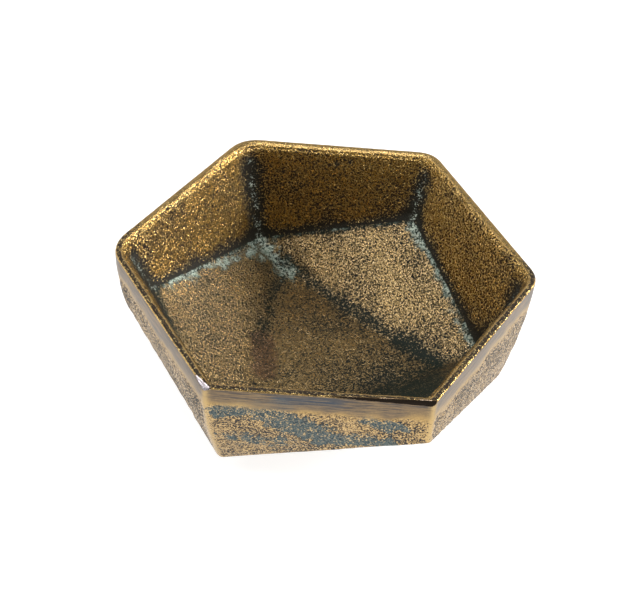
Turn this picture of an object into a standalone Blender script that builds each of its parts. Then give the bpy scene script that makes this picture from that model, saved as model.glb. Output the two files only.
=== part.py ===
"""A thick cast brass bowl with six walls and a faceted floor, on three felt pads. Metres, +Z up."""

import math
from collections import namedtuple

import bmesh
import bpy
from mathutils import Vector

MM = 0.001

# Heights are above the casting's own flat foot, radii are from the bowl's axis.
RIM_HEIGHT = 59.5 * MM
LIP_WIDTH = 4.0 * MM
LIP_CHAMFER = 0.8 * MM
WALL_BULGE = 1.7  # 1 makes straight walls; more holds the wall upright near the rim
INNER_ROUNDING = 4.5 * MM
LEAST_ROUNDING = 1.2 * MM
FOOT_RADIUS = 60.0 * MM
FOOT_ROUNDING = 6.0 * MM
FLOOR_HEIGHT = 5.5 * MM

PAD_RADIUS = 8.0 * MM
PAD_THICKNESS = 1.5 * MM
PAD_EDGE = 0.3 * MM
PAD_DISTANCE = 41.0 * MM
PAD_TURNS = (117, 237, 357)
ADHESIVE_GAP = 0.3 * MM

CORNER_STEPS = 6
SIDE_STEPS = 4
WALL_STEPS = 8
FLOOR_STEPS = 3
PAD_SIDES = 40

# The six corners, counter-clockwise from +X. Their lower ends are low and high in turn: low where a
# corner of the triangular foot is, high where an underside facet climbs away from the foot.
# Directions are in degrees, radii and heights in mm.
#   rim        the lip's outer corner: direction, radius
#   rounding   how far the outer edge is rounded along each wall
#   base       where the outer edge ends at the underside: direction, radius, height
#   floor      the inside floor's corner: direction, radius, height
#   low        the corner or bend of the flat inside triangle that faces this corner: direction, radius
Corner = namedtuple("Corner", "rim rounding base floor low")
CORNERS = (
    Corner((-0.5, 89.3), 7.5, (-0.8, 80.5, 1.2), (-2, 70, 13.2), (-3.5, 51.5)),
    Corner((60.5, 90.0), 7, (60.5, 89.3, 35.5), (58, 72.5, 34.2), (59, 29.5)),
    Corner((118.5, 89.3), 9, (118.5, 77.5, 3.2), (117, 71.5, 12.2), (110, 58.5)),
    Corner((180.5, 92.0), 11, (180.5, 89.3, 35.5), (179, 75, 35.2), (176, 27.5)),
    Corner((240.5, 89.8), 1.8, (239.7, 76, 4.4), (238, 71, 12.7), (233, 58.5)),
    Corner((300.5, 89.6), 1.8, (300.7, 89.3, 35.2), (299, 74, 34.2), (331, 38)),
)
PER_WIDTH = 1 / math.cos(math.radians(30))  # radial distance for each unit of wall thickness
PER_ROUNDING = math.tan(math.radians(30))  # an edge's rounding shrinks by this much per unit inwards


def polar(turn, radius, height):
    """A point given by its direction in degrees, its distance from the axis and its height."""
    angle = math.radians(turn)
    return Vector((radius * math.cos(angle), radius * math.sin(angle), height))


def outline(points, roundings):
    """The closed line through six corner points, each one rounded by a parabola."""
    line = []
    for i, corner in enumerate(points):
        before, after = points[i - 1], points[(i + 1) % len(points)]
        start = corner + (before - corner).normalized() * roundings[i]
        end = corner + (after - corner).normalized() * roundings[i]
        for step in range(CORNER_STEPS + 1):
            t = step / CORNER_STEPS
            line.append(start * (1 - t) ** 2 + corner * 2 * t * (1 - t) + end * t**2)
        next_rounding = roundings[(i + 1) % len(points)]
        next_start = after + (corner - after).normalized() * next_rounding
        line += [end.lerp(next_start, step / SIDE_STEPS) for step in range(1, SIDE_STEPS)]
    return line


def foot_ring():
    """The flat foot: a triangle with its corners under the low corners and its sides cut straight."""
    tips = {i: polar(CORNERS[i].floor[0], FOOT_RADIUS, 0) for i in (0, 2, 4)}
    points = [tips[i] if i in tips else (tips[i - 1] + tips[(i + 1) % 6]) / 2 for i in range(6)]
    return outline(points, [FOOT_ROUNDING] * 6)


def outer_ring(share):
    """The outside of the walls, from share 0 at the rim to share 1 at the underside."""
    top = RIM_HEIGHT - LIP_CHAMFER
    points = []
    for corner in CORNERS:
        rim_turn, rim_radius = corner.rim
        base_turn, base_radius, base_height = corner.base
        turn = rim_turn + (base_turn - rim_turn) * share
        radius = rim_radius + (base_radius - rim_radius) * share**WALL_BULGE
        points.append(polar(turn, radius * MM, top + (base_height * MM - top) * share))
    return outline(points, [corner.rounding * MM for corner in CORNERS])


def lip_ring(inset, height):
    """A line round the lip, a given width in from its outer edge."""
    points = [polar(c.rim[0], c.rim[1] * MM - inset * PER_WIDTH, height) for c in CORNERS]
    roundings = [max(c.rounding * MM - inset * PER_ROUNDING, LEAST_ROUNDING) for c in CORNERS]
    return outline(points, roundings)


def inner_ring(share):
    """The inside of the walls, from share 0 at the lip to share 1 at the floor's edge."""
    top = lip_ring(LIP_WIDTH, RIM_HEIGHT - LIP_CHAMFER)
    edge = floor_edge()
    return [a.lerp(b, share) for a, b in zip(top, edge)]


def floor_edge():
    points = [polar(c.floor[0], c.floor[1] * MM, c.floor[2] * MM) for c in CORNERS]
    return outline(points, [INNER_ROUNDING] * 6)


def floor_ring(share):
    """The floor, from share 0 at the walls to share 1 at the flat triangle in the middle."""
    points = [polar(c.low[0], c.low[1] * MM, FLOOR_HEIGHT) for c in CORNERS]
    return [a.lerp(b, share) for a, b in zip(floor_edge(), outline(points, [INNER_ROUNDING] * 6))]


def casting_rings():
    """Every ring of the casting, from the foot up the outside, over the lip and down to the floor."""
    outside = [outer_ring(1 - step / WALL_STEPS) for step in range(WALL_STEPS + 1)]
    lip = [lip_ring(LIP_CHAMFER, RIM_HEIGHT), lip_ring(LIP_WIDTH - LIP_CHAMFER, RIM_HEIGHT)]
    inside = [inner_ring(step / WALL_STEPS) for step in range(WALL_STEPS)]
    floor = [floor_ring(step / FLOOR_STEPS) for step in range(FLOOR_STEPS + 1)]
    return [foot_ring()] + outside + lip + inside + floor


def middle_of(rings):
    """The middle of the box round the rings, in X and Y."""
    points = [point for ring in rings for point in ring]
    spans = [[point[axis] for point in points] for axis in (0, 1)]
    return Vector([(min(span) + max(span)) / 2 for span in spans] + [0])


def lofted_mesh(name, rings):
    """One closed mesh that joins each ring to the next, with a face over each end."""
    bm = bmesh.new()
    levels = [[bm.verts.new(point) for point in ring] for ring in rings]
    for low, high in zip(levels, levels[1:]):
        for i in range(len(low)):
            j = (i + 1) % len(low)
            bm.faces.new((low[i], low[j], high[j], high[i]))
    bm.faces.new(reversed(levels[0]))
    bm.faces.new(levels[-1])
    mesh = bpy.data.meshes.new(name)
    bm.to_mesh(mesh)
    bm.free()
    return mesh


def pad_mesh():
    """A felt disc with its centre at the middle of its underside."""
    bm = bmesh.new()
    bmesh.ops.create_cone(
        bm, cap_ends=True, segments=PAD_SIDES, radius1=PAD_RADIUS, radius2=PAD_RADIUS, depth=PAD_THICKNESS
    )
    bmesh.ops.translate(bm, verts=bm.verts, vec=(0, 0, PAD_THICKNESS / 2))
    rims = [edge for edge in bm.edges if edge.verts[0].co.z == edge.verts[1].co.z]
    bmesh.ops.bevel(bm, geom=rims, offset=PAD_EDGE, segments=2, affect="EDGES", profile=0.5)
    mesh = bpy.data.meshes.new("felt_pad")
    bm.to_mesh(mesh)
    bm.free()
    return mesh


def metal_or_felt(name, colour, roughness, metallic):
    material = bpy.data.materials.new(name)
    material.use_nodes = True
    shader = material.node_tree.nodes["Principled BSDF"]
    shader.inputs["Base Color"].default_value = (*colour, 1)
    shader.inputs["Roughness"].default_value = roughness
    shader.inputs["Metallic"].default_value = metallic
    return material


def add_object(name, mesh, material, place, sharp_angle):
    mesh.shade_smooth()
    mesh.set_sharp_from_angle(angle=math.radians(sharp_angle))
    if not mesh.materials:
        mesh.materials.append(material)
    obj = bpy.data.objects.new(name, mesh)
    obj.location = place
    bpy.context.collection.objects.link(obj)
    return obj


def build():
    for obj in list(bpy.data.objects):
        bpy.data.objects.remove(obj, do_unlink=True)

    rings = casting_rings()
    centre = middle_of(rings)
    foot_height = PAD_THICKNESS + ADHESIVE_GAP
    brass = metal_or_felt("antique_brass", (0.31, 0.2, 0.08), 0.42, 1)
    add_object(
        "bowl_casting", lofted_mesh("bowl_casting", rings), brass, Vector((0, 0, foot_height)) - centre, 25
    )

    felt = metal_or_felt("felt", (0.03, 0.028, 0.025), 0.95, 0)
    disc = pad_mesh()
    for number, turn in enumerate(PAD_TURNS, 1):
        add_object(f"felt_pad_{number}", disc, felt, polar(turn, PAD_DISTANCE, 0) - centre, 40)


build()
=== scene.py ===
"""A cast brass bowl with an antique finish: its detailed surface, felt pads, floor, light and camera."""

import math
from collections import namedtuple
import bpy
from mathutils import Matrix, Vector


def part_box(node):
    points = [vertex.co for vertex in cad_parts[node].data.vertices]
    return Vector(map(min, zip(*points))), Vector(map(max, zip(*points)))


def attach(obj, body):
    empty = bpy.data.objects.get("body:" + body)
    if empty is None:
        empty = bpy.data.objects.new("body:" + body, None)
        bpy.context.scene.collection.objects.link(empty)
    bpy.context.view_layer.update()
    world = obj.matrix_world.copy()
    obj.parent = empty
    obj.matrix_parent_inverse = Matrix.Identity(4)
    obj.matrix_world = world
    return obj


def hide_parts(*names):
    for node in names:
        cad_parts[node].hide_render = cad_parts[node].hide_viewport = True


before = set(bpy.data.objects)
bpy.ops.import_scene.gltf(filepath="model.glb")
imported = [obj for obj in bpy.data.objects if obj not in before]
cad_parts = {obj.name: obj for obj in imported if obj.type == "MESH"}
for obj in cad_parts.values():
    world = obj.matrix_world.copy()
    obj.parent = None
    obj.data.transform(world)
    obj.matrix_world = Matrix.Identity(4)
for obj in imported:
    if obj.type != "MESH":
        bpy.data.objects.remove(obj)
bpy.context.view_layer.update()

from types import SimpleNamespace

import bmesh
import bpy
import numpy as np
from mathutils import Matrix, Vector, noise

MM = 0.001

# ---------------------------------------------------------------- the camera, in mm and degrees

LENS = 100.186
SENSOR_WIDTH = 36
CAMERA_TURN = 0.456  # to the right of straight in front
CAMERA_RISE = 43.386
CAMERA_ROLL = 4.015
CAMERA_DISTANCE = 722.911
CAMERA_TARGET = (-5.461, -10.583, 50.322)
CLIP_METRES = (0.01, 50)


def place_camera():
    turn, rise, roll = (math.radians(a) for a in (CAMERA_TURN, CAMERA_RISE, CAMERA_ROLL))
    back = Vector((math.sin(turn) * math.cos(rise), -math.cos(turn) * math.cos(rise), math.sin(rise)))
    level = Vector((math.cos(turn), math.sin(turn), 0))
    upright = back.cross(level)
    right = level * math.cos(roll) + upright * math.sin(roll)
    up = upright * math.cos(roll) - level * math.sin(roll)
    camera = bpy.data.objects.new("camera", bpy.data.cameras.new("camera"))
    camera.data.lens = LENS
    camera.data.sensor_width = SENSOR_WIDTH
    camera.data.clip_start, camera.data.clip_end = CLIP_METRES
    place = (Vector(CAMERA_TARGET) + back * CAMERA_DISTANCE) * MM
    camera.matrix_world = Matrix.Translation(place) @ Matrix((right, up, back)).transposed().to_4x4()
    bpy.context.scene.collection.objects.link(camera)
    bpy.context.scene.camera = camera


# ---------------------------------------------------------------- the bowl's shape, in mm

RIM_HEIGHT = 59.5
LIP_WIDTH = 4.0
LIP_DROP = 0.8
WALL_BULGE = 1.7  # 1 makes straight walls; more holds the wall upright near the rim
INNER_ROUNDING = 4.5
LEAST_ROUNDING = 1.2
FOOT_RADIUS = 60.0
FOOT_ROUNDING = 6.0
FLOOR_HEIGHT = 5.5
PER_WIDTH = 1 / math.cos(math.radians(30))  # radial distance for each unit of wall thickness
PER_ROUNDING = math.tan(math.radians(30))  # an edge's rounding shrinks by this much per unit inwards
AXIS = np.array((0.830, -0.162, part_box("bowl_casting")[0].z / MM))  # where the bowl's axis meets its foot

# The six corners, counter-clockwise from +X: directions in degrees, radii and heights.
#   rim        the lip's outer corner: direction, radius
#   rounding   how far the outer edge is rounded along each wall
#   base       where the outer edge ends at the underside: direction, radius, height
#   floor      the inside floor's corner: direction, radius, height
#   low        the corner or bend of the flat inside triangle that faces this corner: direction, radius
Corner = namedtuple("Corner", "rim rounding base floor low")
CORNERS = (
    Corner((-0.5, 89.3), 7.5, (-0.8, 80.5, 1.2), (-2, 70, 13.2), (-3.5, 51.5)),
    Corner((60.5, 90.0), 7, (60.5, 89.3, 35.5), (58, 72.5, 34.2), (59, 29.5)),
    Corner((118.5, 89.3), 9, (118.5, 77.5, 3.2), (117, 71.5, 12.2), (110, 58.5)),
    Corner((180.5, 92.0), 11, (180.5, 89.3, 35.5), (179, 75, 35.2), (176, 27.5)),
    Corner((240.5, 89.8), 1.8, (239.7, 76, 4.4), (238, 71, 12.7), (233, 58.5)),
    Corner((300.5, 89.6), 1.8, (300.7, 89.3, 35.2), (299, 74, 34.2), (331, 38)),
)
CORNER_STEPS = 12
SIDE_STEPS = 72
AROUND = 6 * (CORNER_STEPS + SIDE_STEPS)
# About how many rings each zone has, from the middle of the foot round to the middle of the floor.
FOOT_RINGS, UNDER_RINGS, OUTER_RINGS, INNER_RINGS, FLOOR_RINGS, MIDDLE_RINGS = 8, 18, 46, 50, 30, 26
# Shares of the way down the walls: the first ring under the lip on each side, and extra rings on the
# outside, so that the rim's edge can be cut finely.
FIRST_OUTER, FIRST_INNER = 0.045, 0.032
NEAR_LIP = (0.035, 0.025, 0.016, 0.009, 0.004)
# The lip in section: width in from the outer face, and drop below the top.
LIP_SECTION = ((0.1, 0.5), (0.3, 0.2), (0.65, 0.03), (1.1, 0), (1.6, 0), (2.05, 0.02), (2.45, 0.1),
               (2.85, 0.3), (3.2, 0.6), (3.5, 1.0), (3.75, 1.5))
# At the back, which starts within this distance behind the axis, the lip also drops inwards: by the square
# of how far in a point lies between two insets, times the lean.
BACK_FROM = 20
LIP_LEAN = 0.12
LEAN_FROM, LEAN_TO = 0.6, 2.5
# The bends that are softened: the zone that starts at the bend, how many rings it reaches, how many times.
SOFT_BENDS = (("floor", 3.0, 14), ("middle", 2.5, 12), ("outer", 1.2, 3), ("under", 1.5, 4))


def polar(turn, radius, height):
    angle = math.radians(turn)
    return np.array((radius * math.cos(angle), radius * math.sin(angle), height))


def toward(a, b, distance):
    return a + (b - a) / np.linalg.norm(b - a) * distance


def outline(points, roundings):
    """The closed line through six corner points, each one rounded by a parabola."""
    line = []
    for i, corner in enumerate(points):
        before, after = points[i - 1], points[(i + 1) % 6]
        start, end = toward(corner, before, roundings[i]), toward(corner, after, roundings[i])
        for t in np.linspace(0, 1, CORNER_STEPS + 1):
            line.append(start * (1 - t) ** 2 + corner * 2 * t * (1 - t) + end * t**2)
        following = toward(after, corner, roundings[(i + 1) % 6])
        line += [end + (following - end) * t for t in np.linspace(0, 1, SIDE_STEPS + 1)[1:-1]]
    return np.array(line)


def foot_ring():
    tips = {i: polar(CORNERS[i].floor[0], FOOT_RADIUS, 0) for i in (0, 2, 4)}
    points = [tips[i] if i in tips else (tips[i - 1] + tips[(i + 1) % 6]) / 2 for i in range(6)]
    return outline(points, [FOOT_ROUNDING] * 6)


def outer_ring(share):
    """The outside of the walls, from share 0 at the rim to share 1 at the underside."""
    top = RIM_HEIGHT - LIP_DROP
    points = []
    for (rim_turn, rim_radius), _, (base_turn, base_radius, base_height), _, _ in CORNERS:
        points.append(polar(
            rim_turn + (base_turn - rim_turn) * share,
            rim_radius + (base_radius - rim_radius) * share**WALL_BULGE,
            top + (base_height - top) * share,
        ))
    return outline(points, [corner.rounding for corner in CORNERS])


def lip_ring(inset, height):
    points = [polar(c.rim[0], c.rim[1] - inset * PER_WIDTH, height) for c in CORNERS]
    return outline(points, [max(c.rounding - inset * PER_ROUNDING, LEAST_ROUNDING) for c in CORNERS])


def between(a, b, shares):
    return [a + (b - a) * share for share in shares]


def surface():
    """All the rings of the casting as one array (ring, place round it, xyz), and each zone's first ring."""
    foot = foot_ring()
    edge = outline([polar(*c.floor) for c in CORNERS], [INNER_ROUNDING] * 6)
    low = outline([polar(*c.low, FLOOR_HEIGHT) for c in CORNERS], [INNER_ROUNDING] * 6)
    inner_top = lip_ring(LIP_WIDTH, RIM_HEIGHT - LIP_DROP)
    foot_middle, low_middle = foot.mean(0), low.mean(0)
    outer_shares = [*np.linspace(1, FIRST_OUTER, OUTER_RINGS - len(NEAR_LIP)), *NEAR_LIP, 0]
    zones = {
        "foot": between(foot_middle, foot, np.linspace(0, 1, FOOT_RINGS + 1)[1:-1]),
        "under": between(foot, outer_ring(1), np.linspace(0, 1, UNDER_RINGS)[:-1]),
        "outer": [outer_ring(share) for share in outer_shares],
        "lip": [lip_ring(inset, RIM_HEIGHT - drop) for inset, drop in LIP_SECTION],
        "inner": between(inner_top, edge, np.linspace(FIRST_INNER, 1, INNER_RINGS)[:-1]),
        "floor": between(edge, low, np.linspace(0, 1, FLOOR_RINGS)[:-1]),
        "middle": between(low, low_middle, np.linspace(0, 1, MIDDLE_RINGS)[:-1]),
    }
    starts, rings = {}, []
    for name, made in zones.items():
        starts[name] = len(rings)
        rings += made
    return np.array(rings), starts


def soften(points, at, reach, times):
    """Rounds the bend at one ring: the rings near it move towards the mean of their neighbours."""
    weight = np.exp(-(((np.arange(len(points)) - at) / reach) ** 2))[1:-1, None, None]
    for _ in range(times):
        points[1:-1] += weight * ((points[:-2] + points[2:]) / 2 - points[1:-1])


def normals(points):
    around = np.roll(points, -1, 1) - np.roll(points, 1, 1)
    across = np.gradient(points, axis=0)
    normal = np.cross(around, across)
    return normal / np.maximum(np.linalg.norm(normal, axis=2, keepdims=True), 1e-9)


def rough(points, size, seed):
    """Smooth noise from -1 to 1 whose bumps are about size mm wide."""
    flat = (points.reshape(-1, 3) / size + seed * 17.3).tolist()
    return np.array([noise.noise(p) for p in flat]).reshape(points.shape[:2])


def step(low, high, value):
    """0 below low, 1 above high, and smooth between them."""
    t = np.clip((value - low) / (high - low), 0, 1)
    return t * t * (3 - 2 * t)


def close(gap, width):
    """1 where the gap is 0, falling to 0 over about the width."""
    return np.exp(-((gap / width) ** 2))


def near(points, start, end, width):
    """1 on the line from start to end, falling to 0 over about its width."""
    start, end = np.array(start, float), np.array(end, float)
    along = end - start
    length = max(along @ along, 1e-9)
    t = np.clip(((points - start) @ along) / length, 0, 1)
    return close(np.linalg.norm(points - start - t[..., None] * along, axis=2), width)


# ---------------------------------------------------------------- marks and unevenness, in mm

# Marks on the bowl: what kind, from where to where (from the axis and above the foot), width, strength.
Mark = namedtuple("Mark", "kind start end width strength")
MARKS = (
    Mark("verdigris", (-32, 61, 13), (-31, 56, 13), 6.5, 1.0),
    Mark("verdigris", (-30, 60, 12), (-18, 49, 6), 4.6, 0.9),
    Mark("verdigris", (-33, 57, 13), (-46, 37, 20), 2.8, 0.8),
    Mark("verdigris", (-46, 37, 20), (-58, 25, 27), 2.8, 0.6),
    Mark("verdigris", (-60, 21, 28), (-69, 10, 33), 4.6, 0.8),
    Mark("verdigris", (38, 61, 34), (42, 51, 31), 4.8, 1.0),
    Mark("verdigris", (38, 62, 34), (20, 63, 29), 1.8, 0.65),
    Mark("verdigris", (20, 63, 29), (-26, 63, 16), 1.7, 0.55),
    Mark("verdigris", (43, 50, 30), (58, 22, 21), 2.8, 0.65),
    Mark("verdigris", (58, 22, 21), (66, 5, 15), 3.8, 0.62),
    # The next six marks are patina with painted shade along the floor's creases; the last and widest is
    # painted shade over the floor's raised front facet.
    Mark("recess", (-20, 55, 7), (10, 30, 6), 3.6, 0.62),
    Mark("recess", (10, 30, 6), (34, 11, 6), 3.6, 0.6),
    Mark("recess", (34, 11, 6), (52, -4, 7), 4.8, 0.85),
    Mark("recess", (-21, 45, 6), (-27, 8, 6), 4.5, 0.4),
    Mark("recess", (50, -4, 6), (26, -22, 6), 4.0, 0.6),
    Mark("recess", (42, -28, 12), (42, -62, 32), 20.0, 1.0),
    Mark("red", (-26, 4, 6), (-24, -14, 6), 7.0, 0.9),
    Mark("blue", (-40, -77, 46), (-14, -77, 51), 5.5, 0.95),
    Mark("blue", (-22, -77, 48), (2, -76, 33), 9.5, 0.85),
    Mark("blue", (0, -76, 30), (30, -76, 32), 6.5, 0.75),
    Mark("blue", (-34, -76, 26), (-14, -75, 24), 8.0, 0.62),
    Mark("blue", (20, -77, 47), (28, -77, 42), 3.6, 0.95),
    Mark("blue", (28, -77, 47), (36, -77, 42), 2.6, 0.8),
    Mark("bluish_band", (-14, -79, 56), (8, -79, 56), 3.5, 1.0),
)

# Flats ground on the rim's outer edge: where one starts, where it is widest, its width there, and inwards.
Flat = namedtuple("Flat", "name start end width inward")
FLATS = (
    Flat("ground", (-14, -77.9), (45.5, -77.2), 1.9, (0.0, 1.0)),
    Flat("ground_pale", (-50, -68.8), (-44.2, -78.2), 2.3, (0.851, 0.525)),
)
Pit = namedtuple("Pit", "place width depth")
PITS = (
    Pit((-82.5, 3.5, 52.5), 1.3, 0.9),
    Pit((1, 73.5, 53), 1.1, 0.7),
    Pit((3.5, 73, 48), 1.0, 0.8),
    Pit((7, 73.5, 54.5), 0.9, 0.5),
)
# A raised seam beside the floor's right edge.
SEAM_START, SEAM_END, SEAM_WIDTH, SEAM_HEIGHT = (57, 25, 24), (65, 4, 17), 1.1, 0.45

# Unevenness: the size of its bumps, how far they reach, and the seed that sets where they are.
Bumps = namedtuple("Bumps", "size reach seed")
WAVES = Bumps(22, 0.28, 4)
SAND = (Bumps(3.4, 0.16, 5), Bumps(1.9, 0.15, 6))
OUTSIDE_DENTS = Bumps(6, 0.22, 9)
LIP_BUMPS = Bumps(3, 0.07, 7)
SIDEWAYS_WOBBLE = Bumps(11, 0.45, 10)
EDGE_WANDER = Bumps(14, 1, 1)
BAND_WAVES = (Bumps(34, 3, 2), Bumps(8, 2.5, 3))
DARK_LINE_WANDER = Bumps(7, 0.3, 8)
BAND_DEPTH = 11  # how far the band that was ground under the lip reaches down
DARK_LINE_WIDTH = 2.25  # how far the lip's dark top reaches inwards at the front
RIGHT_FROM, RIGHT_TO = 20, 60  # where the front's lip changes over to its right end, with a duller edge


def uneven(points, bumps):
    return bumps.reach * rough(points, bumps.size, bumps.seed)


def marked(points, kind):
    total = np.zeros(points.shape[:2])
    for mark in MARKS:
        if mark.kind == kind:
            total = np.maximum(total, mark.strength * near(points, mark.start, mark.end, mark.width))
    return total


def grind(points, flat):
    """Cuts one flat off the rim's outer edge. Returns where."""
    start, end = (np.array((*place, RIM_HEIGHT)) for place in (flat.start, flat.end))
    inner = end + np.array((*flat.inward, 0)) * flat.width
    outer = end - np.array((0, 0, flat.width))
    normal = np.cross(inner - start, outer - start)
    normal *= np.sign(normal[2]) / np.linalg.norm(normal)
    depth = np.maximum((points - start) @ normal, 0)
    points -= depth[..., None] * normal
    return step(0.02, 0.08, depth)


def measure(points, starts):
    """For every vertex: its zone, and how far it is from the edges that it may lie near."""
    ends = dict(zip(starts, list(starts.values())[1:] + [len(points)]))
    zone = {name: np.zeros(points.shape[:2]) for name in starts}
    for name in starts:
        zone[name][starts[name]:ends[name]] = 1
    inset = np.zeros(points.shape[:2])
    inset[starts["lip"]:ends["lip"]] = np.array([width for width, _ in LIP_SECTION])[:, None]
    inset[starts["inner"]:] = LIP_WIDTH
    corners = [i * (CORNER_STEPS + SIDE_STEPS) + CORNER_STEPS // 2 for i in range(6)]
    floor = zone["floor"] + zone["middle"]
    return SimpleNamespace(
        zone=zone,
        floor=floor,
        inside=zone["inner"] + floor,
        front=1 - step(0, BACK_FROM, points[..., 1]),
        right=step(RIGHT_FROM, RIGHT_TO, points[..., 0]),
        corner_gap=np.min([np.linalg.norm(points - points[:, c:c + 1], axis=2) for c in corners], 0),
        edge_gap=np.linalg.norm(points - points[starts["floor"]][None], axis=2),
        base_gap=np.linalg.norm(points - points[starts["outer"]][None], axis=2),
        drop=RIM_HEIGHT - points[..., 2],
        inset=inset,
        wander=uneven(points, EDGE_WANDER),
    )


def worn_places(points, at):
    """Masks of what was ground or rubbed bare, and of the lip's dark lines between."""
    outer, lip = at.zone["outer"], at.zone["lip"]
    band_depth = BAND_DEPTH + sum(uneven(points, waves) for waves in BAND_WAVES)
    corner_wear, base_wear = close(at.corner_gap, 1.7 + 0.5 * at.wander), 0.6 * close(at.base_gap, 1.2)
    outer_edges = outer * np.maximum(corner_wear, base_wear)
    dark_to = DARK_LINE_WIDTH + uneven(points, DARK_LINE_WANDER)
    dark_in_front = step(0.3, 0.6, at.inset) * (1 - step(dark_to - 0.2, dark_to + 0.3, at.inset))
    dark_behind = 1 - step(0.1, 0.4, at.inset)
    lip_top = lip * (at.front * dark_in_front + (1 - at.front) * dark_behind)
    lip_edges = lip * (1 - lip_top) * (1 - step(2.6, 3.4, at.inset))
    lip_edges *= 1 - 0.85 * at.front * at.right * (1 - step(0.5, 1.0, at.inset))
    return {
        "brushed": outer * (1 - step(band_depth - 1.5, band_depth + 1.5, at.drop)),
        "band_edge": outer * close(at.drop - band_depth + 0.5, 2.6),
        "outer_edges": outer_edges,
        "wear": np.clip(outer_edges + 0.8 * lip_edges, 0, 1),
        "lip_top": lip_top,
    }


def patina_masks(points, at):
    """Masks of the dark hollows, patina there with painted shade over it, and of the coloured patina."""
    inner, outer = at.zone["inner"], at.zone["outer"]
    # Painted shade with patina: darker in the walls' corners, at their feet, along the floor's edge and in
    # the pits.
    wall_corners = 0.95 * close(at.corner_gap, 5 + 2 * at.wander) * step(2, 10, at.drop)
    wall_feet = 0.9 * close(at.edge_gap, 4 + 1.5 * at.wander)
    floor_edge = 0.7 * close(at.edge_gap, 1.5)
    pits = sum(near(points, pit.place, pit.place, 1.2 * pit.width) for pit in PITS)
    recess = inner * (wall_corners + wall_feet) + at.floor * (floor_edge + marked(points, "recess")) + pits
    return {
        "inside": at.inside + at.zone["lip"],
        "floor": at.floor,
        "recess": np.clip(recess, 0, 1),
        "valley": inner * close(at.corner_gap, 1.3) * step(4, 10, at.drop),
        "verdigris": at.floor * marked(points, "verdigris"),
        "red": at.floor * marked(points, "red"),
        "blue": outer * marked(points, "blue"),
        "bluish_band": outer * marked(points, "bluish_band"),
    }


def roughen(points, at, worn, ground):
    """Adds the casting's unevenness, less of it where the metal was ground, and its pits and seam."""
    lip, foot, outer = (at.zone[name] for name in ("lip", "foot", "outer"))
    smooth = np.clip(worn["brushed"] + lip + foot + worn["outer_edges"] + ground, 0, 1)
    height = uneven(points, WAVES) * (0.5 + 0.5 * at.inside) * (1 - lip)
    height += (1 - 0.85 * smooth) * sum(uneven(points, grains) for grains in SAND)
    height += (1 - smooth) * outer * uneven(points, OUTSIDE_DENTS)
    height += lip * (1 - ground) * uneven(points, LIP_BUMPS)
    height += at.floor * SEAM_HEIGHT * near(points, SEAM_START, SEAM_END, SEAM_WIDTH)
    for pit in PITS:
        height -= pit.depth * near(points, pit.place, pit.place, pit.width)
    height *= step(0, 3, at.base_gap + 3 * (1 - outer - at.zone["under"]))
    height *= 1 - foot
    outwards = points * (1, 1, 0) / np.maximum(np.linalg.norm(points[..., :2], axis=2), 1)[..., None]
    near_rim_inside = step(1.2, 3.0, at.inset) * (1 - step(3, 12, at.drop)) * (1 - at.floor)
    wobble = uneven(points, SIDEWAYS_WOBBLE) * near_rim_inside
    points += normals(points) * height[..., None] + outwards * wobble[..., None]


def mesh_from_rings(name, points, masks):
    """A closed mesh through the rings, with a fan over each end and each mask as an attribute."""
    levels = len(points)
    under_tip, floor_tip = levels * AROUND, levels * AROUND + 1
    last = (levels - 1) * AROUND
    faces = []
    for k in range(levels - 1):
        low, high = k * AROUND, (k + 1) * AROUND
        for i in range(AROUND):
            j = (i + 1) % AROUND
            faces.append((low + i, low + j, high + j, high + i))
    for i in range(AROUND):
        j = (i + 1) % AROUND
        faces.append((j, i, under_tip))
        faces.append((last + i, last + j, floor_tip))
    tips = [points[0].mean(0), points[-1].mean(0)]
    verts = (np.concatenate([points.reshape(-1, 3), tips]) + AXIS) * MM
    mesh = bpy.data.meshes.new(name)
    mesh.from_pydata(verts.tolist(), [], faces)
    mesh.shade_smooth()
    for mask_name, mask in masks.items():
        values = np.concatenate([mask.reshape(-1), mask[0, :1], mask[-1, :1]]).astype(np.float32)
        mesh.attributes.new(mask_name, "FLOAT", "POINT").data.foreach_set("value", values)
    return mesh


def casting_mesh():
    points, starts = surface()
    for zone, reach, times in SOFT_BENDS:
        soften(points, starts[zone], reach, times)
    at = measure(points, starts)
    worn = worn_places(points, at)
    cuts = {flat.name: grind(points, flat) for flat in FLATS}
    ground = np.max(list(cuts.values()), 0)
    lean = LIP_LEAN * (np.clip(at.inset, LEAN_FROM, LEAN_TO) - LEAN_FROM) ** 2
    points[..., 2] -= (1 - at.front) * at.zone["lip"] * lean
    masks = {**worn, **patina_masks(points, at), "ground": ground, "ground_pale": cuts["ground_pale"]}
    del masks["outer_edges"]  # the material reads them as part of the wear
    roughen(points, at, worn, ground)
    return mesh_from_rings("bowl", points, masks)


# ---------------------------------------------------------------- node helpers


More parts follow.
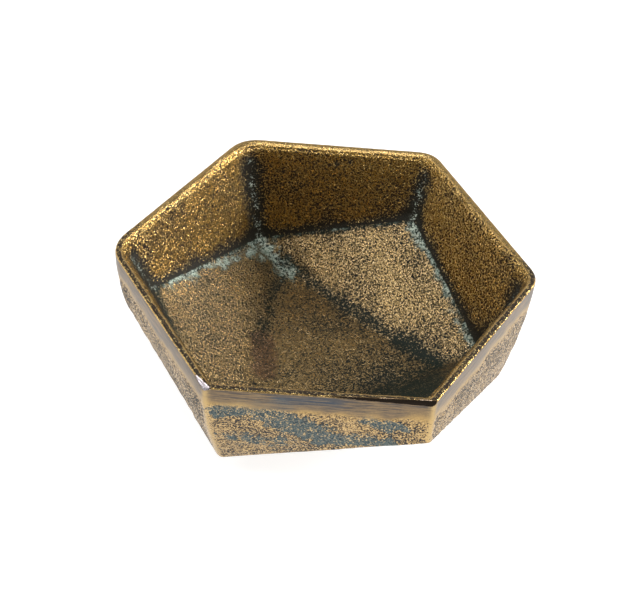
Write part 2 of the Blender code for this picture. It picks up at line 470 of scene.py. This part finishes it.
class Nodes:
    """Builds the nodes of a material or a world with short calls; most calls return an output socket."""

    def __init__(self, owner, shader, coordinates):
        owner.use_nodes = True
        self.tree = owner.node_tree
        self.shader = self.tree.nodes[shader]
        self.place = self.make("ShaderNodeTexCoord").outputs[coordinates]

    def make(self, kind, **settings):
        node = self.tree.nodes.new(kind)
        for name, value in settings.items():
            setattr(node, name, value)
        return node

    def feed(self, socket, value):
        if isinstance(value, bpy.types.NodeSocket):
            self.tree.links.new(value, socket)
        elif value is not None:
            socket.default_value = value

    def set(self, name, value):
        """One input of the shader."""
        self.feed(self.shader.inputs[name], value)

    def mask(self, name):
        return self.make("ShaderNodeAttribute", attribute_name=name).outputs["Fac"]

    def noise(self, size, detail=2.0, roughness=0.5, distortion=0.0, stretch=(1, 1, 1)):
        """Noise from 0 to 1 with spots about size mm wide, drawn out along each axis by stretch."""
        mapping = self.make("ShaderNodeMapping")
        self.feed(mapping.inputs["Vector"], self.place)
        mapping.inputs["Scale"].default_value = [1 / (size * MM * s) for s in stretch]
        node = self.make("ShaderNodeTexNoise")
        for name, given in (("Vector", mapping.outputs["Vector"]), ("Scale", 1), ("Detail", detail),
                            ("Roughness", roughness), ("Distortion", distortion)):
            self.feed(node.inputs[name], given)
        return node.outputs["Fac"]

    def math(self, operation, a, b=None, c=None, clamp=False):
        node = self.make("ShaderNodeMath", operation=operation, use_clamp=clamp)
        for socket, value in zip(node.inputs, (a, b, c)):
            self.feed(socket, value)
        return node.outputs[0]

    def times(self, a, b, clamp=False):
        return self.math("MULTIPLY", a, b, clamp=clamp)

    def most(self, a, b):
        return self.math("MAXIMUM", a, b)

    def raised(self, base, value, weight):
        """The base plus the weighted value."""
        return self.math("MULTIPLY_ADD", value, weight, base)

    def ramp(self, value, low, high, to_low=0.0, to_high=1.0):
        node = self.make("ShaderNodeMapRange", interpolation_type="SMOOTHSTEP")
        for name, given in (("Value", value), ("From Min", low), ("From Max", high),
                            ("To Min", to_low), ("To Max", to_high)):
            self.feed(node.inputs[name], given)
        return node.outputs["Result"]

    def mix(self, share, a, b):
        """Between two colours."""
        node = self.make("ShaderNodeMix", data_type="RGBA")
        for socket, value in zip((node.inputs[0], node.inputs[6], node.inputs[7]), (share, a, b)):
            self.feed(socket, (*value, 1) if isinstance(value, tuple) else value)
        return node.outputs[2]

    def blend(self, share, a, b):
        """Between two numbers."""
        node = self.make("ShaderNodeMix", data_type="FLOAT")
        for socket, value in zip((node.inputs[0], node.inputs[2], node.inputs[3]), (share, a, b)):
            self.feed(socket, value)
        return node.outputs[0]

    def layers(self, between, base, *layers):
        """Colours or numbers over each other, each one where its share is 1; between is mix or blend."""
        for share, layer in layers:
            base = between(share, base, layer)
        return base

    def bumps(self, height, distance, strength=1.0):
        """A normal for bumps up to distance mm high."""
        node = self.make("ShaderNodeBump")
        for name, given in (("Height", height), ("Distance", distance * MM), ("Strength", strength)):
            self.feed(node.inputs[name], given)
        return node.outputs["Normal"]


def new_material(name):
    """A material and the helper for its nodes."""
    material = bpy.data.materials.new(name)
    return material, Nodes(material, "Principled BSDF", "Object")


# ---------------------------------------------------------------- materials

# Colours of the brass. Metal is what shows bare, the glint colours a painted highlight on its brightest
# grains, patina what covers the rest.
WALL_METAL, WALL_PAINTED_GLINT = (0.46, 0.265, 0.055), (0.95, 0.72, 0.32)
FLOOR_METAL, FLOOR_PAINTED_GLINT = (0.46, 0.312, 0.13), (0.53, 0.41, 0.245)
OUTSIDE_METAL, OUTSIDE_PAINTED_GLINT = (0.44, 0.285, 0.115), (0.76, 0.55, 0.27)
BAND_DARK, BAND_PALE, BAND_BLUISH = (0.095, 0.081, 0.071), (0.27, 0.185, 0.10), (0.045, 0.07, 0.10)
BAND_EDGE = (0.44, 0.29, 0.115)
RED_STAIN = (0.17, 0.075, 0.06)
RUBBED = (0.54, 0.38, 0.17)
GROUND, GROUND_PALE = (0.15, 0.11, 0.08), (0.40, 0.36, 0.38)
WALL_PATINA, FLOOR_PATINA = (0.020, 0.011, 0.004), (0.018, 0.020, 0.014)
OUTSIDE_PATINA = (0.016, 0.019, 0.024)
LIP_PATINA = (0.03, 0.018, 0.008)
# Patina with painted shade in the hollows, on the walls and on the floor.
PATINA_AND_SHADE, FLOOR_PATINA_AND_SHADE = (0.014, 0.014, 0.008), (0.012, 0.023, 0.016)
BLUE_DARK, BLUE_PALE = (0.018, 0.034, 0.046), (0.115, 0.155, 0.15)
GREEN, CRUST_DARK, CRUST_PALE = (0.014, 0.028, 0.024), (0.24, 0.33, 0.27), (0.82, 0.92, 0.78)

# The grains that rise over the patina's level are bare, and partly so a little below and above it.
OUTSIDE_LEVEL, WALL_LEVEL, FLOOR_LEVEL = 0.50, 0.49, 0.485
LEVEL_SOFTNESS = 0.06
RELIEF = 0.35  # the grains' height in mm

# The attributes of the casting's mesh that the brass reads.
MASKS = ("inside", "floor", "recess", "valley", "verdigris", "red", "blue", "bluish_band", "brushed", "wear",
         "ground", "ground_pale", "lip_top", "band_edge")


def brass_spots(m):
    """The masks and the noises that the brass is made of, by name."""
    spots = SimpleNamespace(**{name: m.mask(name) for name in MASKS})
    spots.grain = m.noise(0.78, 3, 0.65, 0.5)
    spots.fine = m.noise(0.4, 2, 0.5)
    spots.broad = m.math("SUBTRACT", m.noise(20, 2, 0.5), 0.5)
    spots.clumps = m.math("SUBTRACT", m.noise(4.0, 3, 0.6), 0.5)
    spots.strokes = m.noise(0.42, 2, 0.6, 0, (22, 22, 1))

    def ragged(mask, amount, low, high):
        """A mask with its soft edge broken up by the clumps."""
        return m.ramp(m.raised(mask, spots.clumps, amount), low, high)

    spots.blue = m.times(ragged(spots.blue, 1.3, 0.34, 0.62), m.ramp(spots.blue, 0.02, 0.2))
    spots.crust = m.times(ragged(spots.verdigris, 1.8, 0.15, 0.9), m.ramp(spots.verdigris, 0.02, 0.2))
    spots.red = ragged(spots.red, 1.0, 0.3, 0.7)
    # The painted shade and patina in the hollows, broken up by the clumps.
    spots.recess = m.raised(spots.recess, spots.clumps, m.times(spots.recess, 0.9))
    return spots


def bare_metal(m, spots):
    """Where the metal shows: on the grains that rise over the patina's level, and where it was ground."""
    level = m.blend(spots.inside, OUTSIDE_LEVEL, m.blend(spots.floor, WALL_LEVEL, FLOOR_LEVEL))
    for spot, weight in (
        # Painted shade and patina in the hollows cover more of the metal.
        (spots.recess, m.blend(spots.floor, 0.24, 0.17)),
        (spots.clumps, 0.12),
        (spots.broad, 0.2),
        (spots.blue, 0.10),
        (spots.lip_top, 0.12),
        (spots.band_edge, -0.07),
        (spots.wear, -0.14),
    ):
        level = m.raised(level, spot, weight)
    covered, bared = m.math("SUBTRACT", level, LEVEL_SOFTNESS), m.math("ADD", level, LEVEL_SOFTNESS)
    bare = m.ramp(spots.grain, covered, bared)
    return m.most(m.most(bare, m.times(spots.brushed, 0.85)), spots.ground)


def metal_colour(m, spots):
    # Painted highlight: the brightest grains are lighter in colour, inside and out.
    painted_glint = m.ramp(spots.grain, 0.52, 0.66)
    inside = m.mix(m.times(painted_glint, 0.9), m.mix(spots.floor, WALL_METAL, FLOOR_METAL),
                   m.mix(spots.floor, WALL_PAINTED_GLINT, FLOOR_PAINTED_GLINT))
    outside = m.mix(m.times(painted_glint, 0.6), OUTSIDE_METAL, OUTSIDE_PAINTED_GLINT)
    band = m.layers(
        m.mix, m.mix(m.ramp(spots.strokes, 0.36, 0.64), BAND_DARK, BAND_PALE),
        (m.times(spots.bluish_band, m.ramp(spots.strokes, 0.3, 0.65, 0.95, 0.55)), BAND_BLUISH),
        (m.times(spots.band_edge, m.ramp(spots.broad, -0.2, 0)), BAND_EDGE),
    )
    return m.layers(
        m.mix, m.mix(spots.inside, outside, inside),
        (spots.brushed, band),
        (m.times(spots.red, 0.6), RED_STAIN),
        (m.times(spots.wear, 0.8), RUBBED),
        (spots.ground, m.mix(spots.ground_pale, GROUND, GROUND_PALE)),
    )


def patina_colour(m, spots):
    blue_tone = m.ramp(m.raised(spots.grain, spots.fine, 0.5), 0.62, 0.76)
    return m.layers(
        m.mix, m.mix(spots.inside, OUTSIDE_PATINA, m.mix(spots.floor, WALL_PATINA, FLOOR_PATINA)),
        (spots.lip_top, LIP_PATINA),
        # Painted shade with patina in the hollows, darker and greener on the floor.
        (m.times(spots.recess, 0.85, clamp=True), PATINA_AND_SHADE),
        (m.times(m.times(spots.recess, spots.floor), 0.9, clamp=True), FLOOR_PATINA_AND_SHADE),
        (spots.blue, m.mix(blue_tone, BLUE_DARK, BLUE_PALE)),
    )


def brass_material():
    """Cast brass under a dark patina that has worn through on the grains, the edges and the ground band."""
    material, m = new_material("antique_brass_cast")
    spots = brass_spots(m)
    bare = bare_metal(m, spots)

    # Verdigris: dark green low down, pale crust on the grains.
    crust_grains = m.times(spots.crust, m.ramp(m.raised(spots.grain, spots.clumps, 0.6), 0.42, 0.55))
    specks = m.times(spots.valley, m.ramp(m.raised(spots.grain, spots.clumps, 0.7), 0.56, 0.64))
    pale = m.mix(m.ramp(spots.grain, 0.46, 0.62), CRUST_DARK, CRUST_PALE)
    m.set("Base Color", m.layers(
        m.mix, m.mix(bare, patina_colour(m, spots), metal_colour(m, spots)),
        (m.times(spots.crust, 0.75), GREEN),
        (m.times(m.most(crust_grains, specks), 0.85), pale),
    ))
    matt = m.times(m.most(spots.crust, specks), 0.6)
    m.set("Metallic", m.math("SUBTRACT", m.blend(bare, 0.1, 1.0), matt, clamp=True))
    m.set("Roughness", m.layers(
        m.blend, m.blend(bare, 0.65, 0.25), (spots.wear, 0.25), (spots.brushed, 0.36), (spots.ground, 0.16)))
    m.set("Specular IOR Level", 0.3)

    relief = m.bumps(m.layers(
        m.blend, m.raised(spots.grain, spots.fine, 0.35),
        (m.times(spots.wear, 0.5), 0.6),
        (spots.brushed, m.times(spots.strokes, 0.15)),
        (spots.ground, 0.5),
    ), RELIEF)
    m.set("Normal", relief)
    m.set("Coat Normal", relief)
    m.set("Coat Weight", 0.04)
    m.set("Coat Roughness", 0.25)
    return material


FELT_DARK, FELT_PALE, FELT_CLOUD = (0.012, 0.011, 0.010), (0.06, 0.055, 0.05), (0.03, 0.028, 0.03)


def felt_material():
    material, m = new_material("pressed_felt")
    fibres = m.noise(0.25, 3, 0.7, 1.5)
    clouds = m.noise(2.0, 2, 0.5)
    wool = m.mix(m.ramp(fibres, 0.3, 0.75), FELT_DARK, FELT_PALE)
    m.set("Base Color", m.mix(m.times(clouds, 0.4), wool, FELT_CLOUD))
    m.set("Roughness", 0.95)
    m.set("Sheen Weight", 0.35)
    m.set("Sheen Roughness", 0.5)
    m.set("Normal", m.bumps(fibres, 0.15, 0.8))
    return material


# ---------------------------------------------------------------- pieces


def add_piece(name, mesh, material, node):
    mesh.materials.append(material)
    obj = bpy.data.objects.new(name, mesh)
    bpy.context.scene.collection.objects.link(obj)
    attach(obj, "root")
    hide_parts(node)
    return obj


PAD_SIDES = 96
PAD_EDGE = 0.975  # the share of the radius where the cut edge's rounding starts
EDGE_ROUNDING = 0.25 * MM
EDGE_RISE, EDGE_FALL = 0.06 * MM, 0.04 * MM  # how far the rounding's start lies from each flat side
FLAT_REACHES = np.linspace(0.1, 0.93, 10)  # shares of the radius where the flat sides have their rings
FUZZ_SIZE = 0.9 * MM
FUZZ_HEIGHT = 0.05 * MM
EDGE_FUZZ = 0.06 * MM


def pad_section(radius, bottom, top):
    """Reach and height of each ring of a disc, from the underside round its cut edge to the top."""
    underside = [(radius * share, bottom) for share in FLAT_REACHES]
    edge = [(radius * PAD_EDGE, bottom + EDGE_RISE), (radius, bottom + EDGE_ROUNDING),
            (radius, top - EDGE_ROUNDING), (radius * PAD_EDGE, top - EDGE_FALL)]
    return underside + edge + [(radius * share, top) for share in FLAT_REACHES[::-1]]


def pad_mesh(name, node):
    """A felt disc with a soft cut edge, in the box of its CAD solid."""
    low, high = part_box(node)
    middle, radius = (low + high) / 2, (high.x - low.x) / 2
    bm = bmesh.new()
    rings = []
    for reach, height in pad_section(radius, low.z, high.z):
        ring = []
        for side in range(PAD_SIDES):
            angle = 2 * math.pi * side / PAD_SIDES
            outwards = Vector((math.cos(angle), math.sin(angle), 0))
            at = outwards * reach + Vector((0, 0, height))
            fuzz = noise.noise((at + middle) / FUZZ_SIZE)
            at.z = min(max(at.z + FUZZ_HEIGHT * fuzz, low.z), high.z)
            if reach >= PAD_EDGE * radius:
                at += outwards * EDGE_FUZZ * (fuzz - 1)
            ring.append(bm.verts.new(at + Vector((middle.x, middle.y, 0))))
        rings.append(ring)
    for inner, outer in zip(rings, rings[1:]):
        for side in range(PAD_SIDES):
            following = (side + 1) % PAD_SIDES
            bm.faces.new((inner[side], inner[following], outer[following], outer[side]))
    bm.faces.new(reversed(rings[0]))
    bm.faces.new(rings[-1])
    mesh = bpy.data.meshes.new(name)
    bm.to_mesh(mesh)
    bm.free()
    mesh.shade_smooth()
    return mesh


# ---------------------------------------------------------------- floor and light, in metres and watts

FLOOR_RADIUS, FLOOR_SIDES = 6, 96
FLOOR_GREY = 0.5
FLOOR_GLOW = 0.85  # the floor is a lit white table, so hardly any shadow shows on it
CEILING_LIGHT = 0.24
HORIZON_LIGHT = 1.0
FRONT_LIGHT = 0.12  # the room is dark behind the camera

Softbox = namedtuple("Softbox", "name place width height power")
SOFTBOXES = (
    Softbox("overhead_softbox", (-0.02, -0.28, 1.35), 0.45, 0.4, 6.5),
    Softbox("left_softbox", (-1.35, 0.05, 1.0), 0.65, 0.6, 5.5),
    Softbox("right_softbox", (1.35, 0.2, 0.6), 0.5, 0.4, 21),
    Softbox("back_softbox", (0, 1.0, 0.8), 1.0, 0.5, 0.9),
)


def add_floor():
    bm = bmesh.new()
    bmesh.ops.create_circle(bm, cap_ends=True, radius=FLOOR_RADIUS, segments=FLOOR_SIDES)
    mesh = bpy.data.meshes.new("studio_floor")
    bm.to_mesh(mesh)
    bm.free()
    material, m = new_material("pale_floor")
    m.set("Base Color", (FLOOR_GREY, FLOOR_GREY, FLOOR_GREY, 1))
    m.set("Roughness", 1)
    m.set("Specular IOR Level", 0)
    m.set("Emission Color", (1, 1, 1, 1))
    m.set("Emission Strength", FLOOR_GLOW)
    mesh.materials.append(material)
    floor = bpy.data.objects.new("studio_floor", mesh)
    bpy.context.scene.collection.objects.link(floor)


def add_softbox(box):
    """A rectangular lamp that faces the bowl."""
    lamp = bpy.data.lights.new(box.name, "AREA")
    lamp.shape = "RECTANGLE"
    lamp.size, lamp.size_y = box.width, box.height
    lamp.energy = box.power
    obj = bpy.data.objects.new(box.name, lamp)
    obj.location = box.place
    obj.rotation_euler = (-Vector(box.place)).to_track_quat("-Z", "Y").to_euler()
    bpy.context.scene.collection.objects.link(obj)


def add_room():
    """Light from all round: white near the floor, dimmer above, and dark behind the camera."""
    world = bpy.data.worlds.new("studio")
    m = Nodes(world, "Background", "Generated")
    direction = m.make("ShaderNodeSeparateXYZ")
    m.feed(direction.inputs[0], m.place)
    rise, back = direction.outputs["Z"], direction.outputs["Y"]
    above = m.ramp(rise, 0.15, 0.55, HORIZON_LIGHT, CEILING_LIGHT)
    room = m.ramp(back, -0.75, -0.1, FRONT_LIGHT, above)
    m.set("Strength", m.ramp(rise, 0.03, 0.12, HORIZON_LIGHT, room))
    m.set("Color", (1, 1, 1, 1))
    bpy.context.scene.world = world


place_camera()
add_floor()
add_room()
for box in SOFTBOXES:
    add_softbox(box)
bpy.context.scene.view_settings.view_transform = "Standard"

add_piece("bowl", casting_mesh(), brass_material(), "bowl_casting")
felt = felt_material()
for number in (1, 2, 3):
    disc, node = f"felt_disc_{number}", f"felt_pad_{number}"
    add_piece(disc, pad_mesh(disc, node), felt, node)

bpy.context.view_layer.update()
